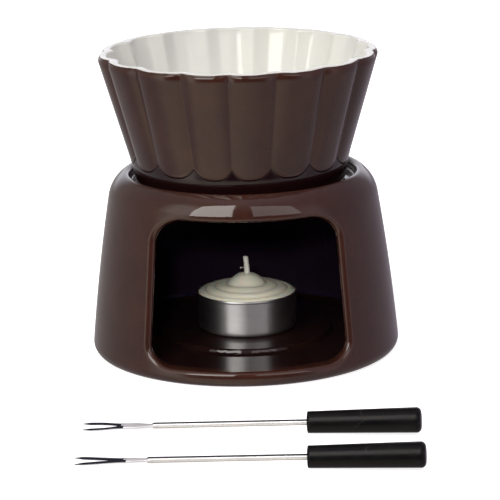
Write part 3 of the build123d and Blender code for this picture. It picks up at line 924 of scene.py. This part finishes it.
# Wax: a shallow outer ring, two tiers and a dome, each rising steeply and then levelling out.
TIER_R = (17.85, 15.0, 11.3, 7.1, 0.9)
TIER_RISE = (-0.75, 0.55, 1.75, 2.75, 6.3)
TIER_SAG = 0.28
GROOVE_WIDTH = 0.75
wax_top = []
groove_shade_mark = []
for tier in range(4):
    outer_r, outer_z = TIER_R[tier], TIER_RISE[tier]
    width, rise = outer_r - TIER_R[tier + 1], TIER_RISE[tier + 1] - outer_z
    dome = tier == 3
    for t in np.linspace(0, 1, 26 if dome else 15, endpoint=dome):
        climb = 1 - (1 - t) ** (2 if dome else 2.6)
        sag = 0 if dome else TIER_SAG * np.clip((t - 0.72) / 0.28, 0, 1) ** 2
        wax_top.append((outer_r - width * t, CUP_HEIGHT + outer_z + rise * climb - sag))
        near = t if dome else min(t, 1 - t)
        groove_shade_mark.append(np.clip(1 - near * width / GROOVE_WIDTH, 0, 1))


def melted(r, z, angles):
    """The tiers aren't quite round or level."""
    share = np.clip((17.0 - r) / 3.0, 0, 1) * (z > CUP_HEIGHT - 1)
    uneven_r = 0.10 * waves(angles, r / 4.0, 11, 6, 4) * share * np.clip(r / 3.0, 0, 1)
    uneven_z = 0.07 * waves(angles, r / 2.5, 23, 6, 4) * share
    return r + uneven_r, z + uneven_z


WAX_GAP = 0.05  # between wax and cup
WAX_AROUND = 144
wax_low = CUP_WALL + WAX_GAP
wax_under = line((1.5, wax_low), (foot_x, wax_low), 4)
wax_under += arc((foot_x, CUP_FOOT_ROUND), CUP_FOOT_ROUND - wax_low, -90, 0, 6)[1:]
wax_under += [(cup_side(z, wax_low), z) for z in np.linspace(CUP_FOOT_ROUND + 1, CUP_HEIGHT - 1.4, 6)]
wax_points, wax_faces = skin(lathe(wax_under + wax_top, WAX_AROUND, melted))
wax_points += candle_at
wax = add_piece(
    "tealight_wax_tiers", wax_points, wax_faces, "tealight", wax_material(), "tealight_wax"
)
marks = [0.0] * len(wax_under) + groove_shade_mark
add_values(wax, "groove_shade", np.concatenate([np.repeat(marks, WAX_AROUND), [0.0, groove_shade_mark[-1]]]))

# Wick: a braided cotton cord that leans a little, with one loose fibre.
WICK_R = 0.95
WICK_AROUND = 36
BRAID_STRANDS = 3
BRAID_TURN = 16  # radians along the wick
wick_foot_z = CUP_Z + CUP_HEIGHT + 4.6
wick_length = wick_high[2] - wick_foot_z
lean_top = CANDLE_X - wick_low[0] - WICK_R
wick_turn = round_angles(WICK_AROUND)
wick_rings = []
for share in np.linspace(0, 1, 60):
    strands = BRAID_STRANDS * wick_turn
    braid = np.cos(strands - BRAID_TURN * share) * np.cos(strands + BRAID_TURN * share)
    swell = 1 + 0.38 * (1 - share) ** 4
    end = sqrt(max(0.0, 1 - max(0.0, (share - 0.955) / 0.047) ** 2))
    r = WICK_R * swell * (0.93 + 0.09 * braid + 0.02 * waves(wick_turn, share * 9, 3)) * max(end, 0.12)
    middle_x = CANDLE_X + 0.3 - lean_top * share**2 * 0.9
    middle = np.array([middle_x, CANDLE_Y, wick_foot_z + wick_length * share])
    wick_rings.append(middle + ring(r, wick_turn, 0.0))
wick_points, wick_faces = skin(wick_rings)


def thread(path, radii, around=10):
    """A thin round thread along points, with a radius at each."""
    path = np.array(path, float)
    rings = []
    for i, middle in enumerate(path):
        along = path[min(i + 1, len(path) - 1)] - path[max(i - 1, 0)]
        along /= np.linalg.norm(along)
        side = np.cross(along, (0.0, 1.0, 0.0))
        side /= np.linalg.norm(side)
        other = np.cross(along, side)
        a = round_angles(around)
        rings.append(middle + radii[i] * (np.cos(a)[:, None] * side + np.sin(a)[:, None] * other))
    return skin(rings)


FIBRE_R = 0.09
KNOT_R = 0.33  # of the end of the fibre, which is frayed to a small ball
fibre_path = []
fibre_radii = []
for t in np.linspace(0, 1, 24):
    fibre_z = wick_foot_z + 3.9 - 0.1 * t - 0.45 * t**2 + 0.45 * t**3
    fibre_path.append((CANDLE_X - 0.8 - 1.45 * t, CANDLE_Y - 0.25, fibre_z))
    knot = sqrt(max(0.0, 1 - ((t - 0.86) / 0.14) ** 2)) if t > 0.72 else 0.0
    fibre_radii.append(max(FIBRE_R, KNOT_R * knot))
fibre_points, fibre_faces = thread(fibre_path, fibre_radii)
wick_faces += [[v + len(wick_points) for v in face] for face in fibre_faces]
wick_points = np.concatenate([wick_points, fibre_points])
cotton = cotton_material()
add_piece("tealight_wick_braid", wick_points, wick_faces, "tealight", cotton, "tealight_wick")

# ---- Forks ----

FORK_LENGTH = 114.0
FORK_TURN = radians(-9.1)
FORK_MIDDLES = ((-1.2, -105.0), (-2.9, -141.8))
HANDLE_START = 76.0
HANDLE_FRONT_R = 3.65
HANDLE_REAR_R = 4.3
HANDLE_FRONT_ROUND = 0.3
HANDLE_ROUND = 1.7
SHAFT_R = 1.0
SHAFT_END = 101.0  # inside the handle
HEAD_LENGTH = 25.0
BLADE_T = 0.8
TIP_HALF = 3.75
GAP_HALF = 2.95
TINE_WIDTH = 0.85
TINE_POINT = 3.0  # length over which a tine runs to its point
FAR_TINE_LEAD = 1.1
NECK_HALF = 1.25
NECK_START, NECK_LENGTH = 17.5, 5.5
TINE_OVERLAP, BLADE_OVERLAP = 0.6, 0.35  # of the tines and the blade at the end of the gap
FORK_HEADS = ((13.0, 2.4, 3.0), (16.0, 1.75, 1.0))  # gap, half width behind it, how the gap closes
LYING_GAP = 0.05  # under a fork's points


def fork_axes(number):
    """Tip of a fork and its three directions: along it, across it and up."""
    tilt = asin((HANDLE_FRONT_R - BLADE_T / 2) / HANDLE_START)
    along = np.array([cos(FORK_TURN) * cos(tilt), sin(FORK_TURN) * cos(tilt), sin(tilt)])
    across = np.array([-sin(FORK_TURN), cos(FORK_TURN), 0.0])
    half = FORK_LENGTH / 2 * cos(tilt)
    middle = FORK_MIDDLES[number - 1]
    tip_x, tip_y = middle[0] - half * cos(FORK_TURN), middle[1] - half * sin(FORK_TURN)
    return np.array([tip_x, tip_y, BLADE_T / 2 + LYING_GAP]), along, across, np.cross(along, across)


def place(points, axes):
    """Points of a fork's own frame, in the row frame."""
    tip, along, across, upright = axes
    points = np.asarray(points)
    return tip + points[:, :1] * along + points[:, 1:2] * across + points[:, 2:] * upright


def turned_rings(path, around):
    """Rings of (distance along, radius) pairs turned about the fork's axis, which is X."""
    return [np.roll(ring(r, round_angles(around), x), 1, axis=1) for x, r in path]


def smooth_step(t):
    t = np.clip(t, 0, 1)
    return t * t * (3 - 2 * t)


def section(y_low, y_high, half_t, x, around=20, power=0.45):
    """One flat section of a tine or blade, its corners rounder the nearer power is to 1."""
    a = round_angles(around)
    cy, sz = np.cos(a), np.sin(a)
    y = (y_low + y_high) / 2 + (y_high - y_low) / 2 * np.sign(cy) * np.abs(cy) ** power
    z = half_t * np.sign(sz) * np.abs(sz) ** power
    return np.stack([np.full(around, x), y, z], 1)


def gap_half(x, tine_length, bow):
    """Half the gap between the tines, which closes at the root along a curve of that power."""
    return GAP_HALF * (1 - np.clip(x / tine_length, 0, 1) ** bow)


def blade_half(x, tine_length, root_half, bow):
    """Half the head's width: the tines spread towards their points."""
    spread = root_half + (TIP_HALF - root_half) * (1 - smooth_step(x / tine_length))
    spread = max(spread, gap_half(x, tine_length, bow) + TINE_WIDTH) if x < tine_length - 1 else spread
    return spread - (root_half - NECK_HALF) * smooth_step((x - NECK_START) / NECK_LENGTH)


def fork_head(tine_length, root_half, bow):
    """Points, faces and painted dark edges of the two tines and the blade, joined behind the gap."""
    points, faces, painted_dark_edge = [], [], []
    half_t = BLADE_T / 2

    def keep(rings):
        start = sum(len(p) for p in points)
        found, quads = skin(rings)
        points.append(found)
        faces.extend([[v + start for v in face] for face in quads])

    for far in (False, True):
        rings = []
        lead = FAR_TINE_LEAD if far else 0.0
        for t in np.linspace(0, 1, 44):
            x = (tine_length + TINE_OVERLAP + lead) * t - lead
            outer = blade_half(x, tine_length, root_half, bow)
            inner = min(gap_half(x, tine_length, bow) - 0.04, outer - 0.4)
            point = smooth_step((x + lead) / TINE_POINT)
            middle = (outer + inner) / 2
            reach = 0.1 + ((outer - inner) / 2 - 0.1) * point
            low, high = (middle - reach, middle + reach) if far else (-middle - reach, -middle + reach)
            outline = section(low, high, half_t * (0.4 + 0.6 * point), x)
            rings.append(outline)
            # The far tine gets a painted dark reflection along the gap, the near one over its top and
            # sides.
            from_gap = np.abs(outline[:, 1] - low) / max(high - low, 0.05)
            painted_dark_edge.append(1 - from_gap if far else np.clip(0.75 + outline[:, 2] / half_t, 0, 1))
        painted_dark_edge.append([0.5, 0.0])
        keep(rings)
    rings = []
    for t in np.linspace(0, 1, 28):
        x = tine_length - BLADE_OVERLAP + (HEAD_LENGTH - tine_length + BLADE_OVERLAP) * t
        half = blade_half(max(x, tine_length), tine_length, root_half, bow)
        rings.append(section(-half, half, half_t, x))
    keep(rings)
    painted_dark_edge.append(np.zeros(len(points[-1])))
    return np.concatenate(points), faces, np.concatenate(painted_dark_edge)


shaft_path = [(23.3, 0.3), (23.35, 0.75), (23.6, 0.95), (24.0, SHAFT_R)]
shaft_path += [(x, SHAFT_R) for x in np.linspace(24.5, SHAFT_END - 0.4, 60)] + [(SHAFT_END, 0.6)]
shaft_points, shaft_faces = skin(turned_rings(shaft_path, 32))

handle_slope = (HANDLE_REAR_R - HANDLE_FRONT_R) / (FORK_LENGTH - HANDLE_START)
handle_end = FORK_LENGTH - HANDLE_ROUND
handle_path = [(HANDLE_START + 0.9, 1.02), (HANDLE_START + 0.25, 1.1), (HANDLE_START, 1.35)]
handle_path += [(HANDLE_START, r) for r in np.linspace(1.6, HANDLE_FRONT_R - 0.5, 6)]
for a in np.radians(np.linspace(0, 90, 6)):
    from_corner = HANDLE_FRONT_ROUND * (1 - sin(a))
    handle_path.append((HANDLE_START + from_corner, HANDLE_FRONT_R - from_corner))
for x in np.linspace(HANDLE_START + 1, handle_end, 30):
    handle_path.append((x, HANDLE_FRONT_R + handle_slope * (x - HANDLE_START)))
for a in np.radians(np.linspace(8, 90, 10)):
    handle_path.append((handle_end + HANDLE_ROUND * sin(a), HANDLE_REAR_R - HANDLE_ROUND * (1 - cos(a))))
handle_path += [(FORK_LENGTH, r) for r in (1.9, 1.2, 0.5)]
handle_points, handle_faces = skin(turned_rings(handle_path, 72))

for number, (tine_length, root_half, bow) in enumerate(FORK_HEADS, start=1):
    axes = fork_axes(number)
    body = f"fork_{number}"
    points, faces, painted_dark_edge = fork_head(tine_length, root_half, bow)
    points = place(points, axes)
    head = add_piece(f"{body}_head", points, faces, body, BLADE_STEEL, f"{body}_tines")
    add_values(head, "painted_dark_edge", painted_dark_edge)
    points = place(shaft_points, axes)
    rod = add_piece(f"{body}_rod", points, shaft_faces, body, ROD_STEEL, f"{body}_shaft")
    # How far round the rod each point lies: 0 faces the front, 90 is its top.
    around = np.degrees(np.arctan2(shaft_points[:, 2], -shaft_points[:, 1]))
    # Painted reflections: a dark line near the rod's top and a warm one underneath.
    add_values(rod, "painted_dark_reflection", smooth_step((around - 34) / 14) * smooth_step((150 - around) / 20))
    add_values(rod, "painted_warm_reflection", smooth_step((-30 - around) / 16) * smooth_step((around + 170) / 20))
    points = place(handle_points, axes)
    add_piece(f"{body}_grip", points, handle_faces, body, PLASTIC, f"{body}_handle")

# The forks are not mirrored in the glaze.
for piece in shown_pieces():
    if piece.name.startswith("fork_"):
        piece.visible_glossy = False

# The sustainer lies under the wax and keeps its CAD shape.
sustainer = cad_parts["wick_sustainer"]
sustainer.data.materials.clear()
sustainer.data.materials.append(sustainer_material())

# ---- Floor, light and camera ----

# A wide pale floor.
FLOOR_SIZE = 6.0
FLOOR_STEPS = 24
FLOOR_GAP = 0.00002  # under the set
FLOOR_GLOW = 0.8  # towards the camera only, so that the paper looks white
floor_mesh = bpy.data.meshes.new("floor")
row = FLOOR_STEPS + 1
marks = [FLOOR_SIZE * (i / FLOOR_STEPS - 0.5) for i in range(row)]
starts = [i + j * row for j in range(FLOOR_STEPS) for i in range(FLOOR_STEPS)]
faces = [(a, a + 1, a + row + 1, a + row) for a in starts]
floor_mesh.from_pydata([(x, y, 0.0) for y in marks for x in marks], [], faces)
floor = add_object("floor", floor_mesh)
floor.location.z = cad_low[2] - FLOOR_GAP
graph = Graph("floor_paper")
seen = graph.add("ShaderNodeLightPath").outputs["Is Camera Ray"]
graph.finish(
    Base_Color=graph.mix(graph.noise(0.4, 2.0), (0.86, 0.86, 0.86), (0.84, 0.84, 0.845)),
    Roughness=0.9,
    Specular_IOR_Level=0.0,
    Emission_Color=(1.0, 1.0, 1.0, 1.0),
    Emission_Strength=graph.math("MULTIPLY", seen, FLOOR_GLOW),
)
floor_mesh.materials.append(graph.material)
floor.visible_glossy = False

BOX_DISTANCE = 1.5
BOX_RAISE = 0.06


def softbox(name, left, right, low, high, radiance, tint):
    """An upright lamp in front of the set, facing +Y. Its edges are shares of its distance from the set."""
    width, height = (right - left) * BOX_DISTANCE, (high - low) * BOX_DISTANCE
    lamp = bpy.data.lights.new(name, "AREA")
    lamp.shape = "RECTANGLE"
    lamp.size, lamp.size_y = width, height
    lamp.energy = radiance * pi * width * height
    lamp.color = tint
    holder = add_object(name, lamp)
    middle = ((left + right) / 2 * BOX_DISTANCE, -BOX_DISTANCE, (low + high) / 2 * BOX_DISTANCE + BOX_RAISE)
    holder.matrix_world = Matrix.Translation(middle) @ Matrix.Rotation(radians(90), 4, "X")


softbox("left_box", -1.15, -0.2, 0.45, 1.95, 5.6, (1.0, 0.975, 0.93))
softbox("right_box", 0.12, 1.15, 0.45, 1.6, 1.5, (1.0, 0.96, 0.92))

# A small soft spot through the window, which only the matt surfaces see.
SPOT_AT = Vector((-0.10, -1.0, 0.40))
SPOT_TO = Vector((0.0, 0.0, 0.028))
spot = bpy.data.lights.new("candle_lamp", "SPOT")
spot.spot_size = radians(8.0)
spot.spot_blend = 1.0
spot.shadow_soft_size = 0.05
spot.energy = 13.5
spot_holder = add_object("candle_lamp", spot)
spot_turn = (SPOT_TO - SPOT_AT).to_track_quat("-Z", "Y")
spot_holder.matrix_world = Matrix.Translation(SPOT_AT) @ spot_turn.to_matrix().to_4x4()
spot_holder.visible_glossy = False

world = bpy.data.worlds.new("studio")
bpy.context.scene.world = world
world.use_nodes = True
room = Nodes(world.node_tree)
background = room.tree.nodes["Background"]


def ease(value, low, high):
    """0 at low, 1 at high."""
    return room.scale(value, low, high, smooth=True)


# An even grey room, dark low in front where the camera stands, bright low behind, with a soft glow
# beside each lamp and pale paper below. The camera itself sees plain white paper.
TO_DEGREES = 180 / pi
direction = room.add("ShaderNodeTexCoord").outputs["Generated"]
right, back, up = room.add("ShaderNodeSeparateXYZ", {0: direction}).outputs
turn = room.math("ARCTAN2", right, room.math("MULTIPLY", back, -1.0))
turn = room.math("MULTIPLY", turn, TO_DEGREES)
aside = room.math("ABSOLUTE", turn)
height = room.math("MULTIPLY", room.math("ARCSINE", up), TO_DEGREES)
# Each patch has a colour and edges, where an edge is an angle and the two ends of its soft change.
PATCHES = (
    ((0.60, 0.53, 0.60), (height, 50.0, 75.0)),  # ceiling
    ((0.13, 0.125, 0.14), (aside, 135.0, 155.0), (height, 24.0, 36.0), (height, 80.0, 66.0)),  # high behind
    ((1.2, 1.2, 1.3), (aside, 145.0, 165.0), (height, 32.0, 18.0), (height, -3.0, 6.0)),  # low behind
    ((0.035, 0.030, 0.055), (aside, 55.0, 26.0), (height, 66.0, 30.0)),  # in front
    ((1.15, 1.10, 1.02), (turn, -86.0, -60.0), (turn, -44.0, -56.0), (height, 55.0, 36.0)),  # left glow
    # The left glow is stronger higher up.
    (
        (1.5, 1.42, 1.3),
        (turn, -88.0, -64.0),
        (turn, -44.0, -54.0),
        (height, 14.0, 26.0),
        (height, 56.0, 40.0),
    ),
    ((0.62, 0.56, 0.62), (turn, 80.0, 64.0), (turn, 44.0, 56.0), (height, 48.0, 25.0)),  # right glow
)
sky = room.mix(ease(turn, -40.0, 40.0), (0.40, 0.38, 0.38), (0.35, 0.31, 0.36))
for colour, *edges in PATCHES:
    share = ease(*edges[0])
    for edge in edges[1:]:
        share = room.math("MULTIPLY", share, ease(*edge))
    sky = room.mix(share, sky, colour)
paper = room.mix(ease(turn, -30.0, 50.0), (0.79, 0.75, 0.63), (0.49, 0.46, 0.45))
paper = room.mix(ease(aside, 60.0, 95.0), paper, (0.40, 0.37, 0.39))
sky = room.mix(ease(height, -18.0, -36.0), sky, paper)
seen = room.add("ShaderNodeLightPath").outputs["Is Camera Ray"]
room.put(room.mix(seen, sky, (1.1, 1.1, 1.1)), background.inputs[0])
background.inputs[1].default_value = 1.0

CAMERA_AT = (-0.02339, -1.02108, 0.29277)
CAMERA_TURNS = ((-1.43, "Z"), (75.91, "X"), (-1.19, "Z"))  # degrees
camera_data = bpy.data.cameras.new("camera")
camera_data.sensor_width = 36.0
camera_data.lens = 206.13
camera = add_object("camera", camera_data)
camera_place = Matrix.Translation(CAMERA_AT)
for degrees, axis in CAMERA_TURNS:
    camera_place = camera_place @ Matrix.Rotation(radians(degrees), 4, axis)
camera.matrix_world = camera_place
bpy.context.scene.camera = camera
bpy.context.scene.view_settings.view_transform = "Standard"
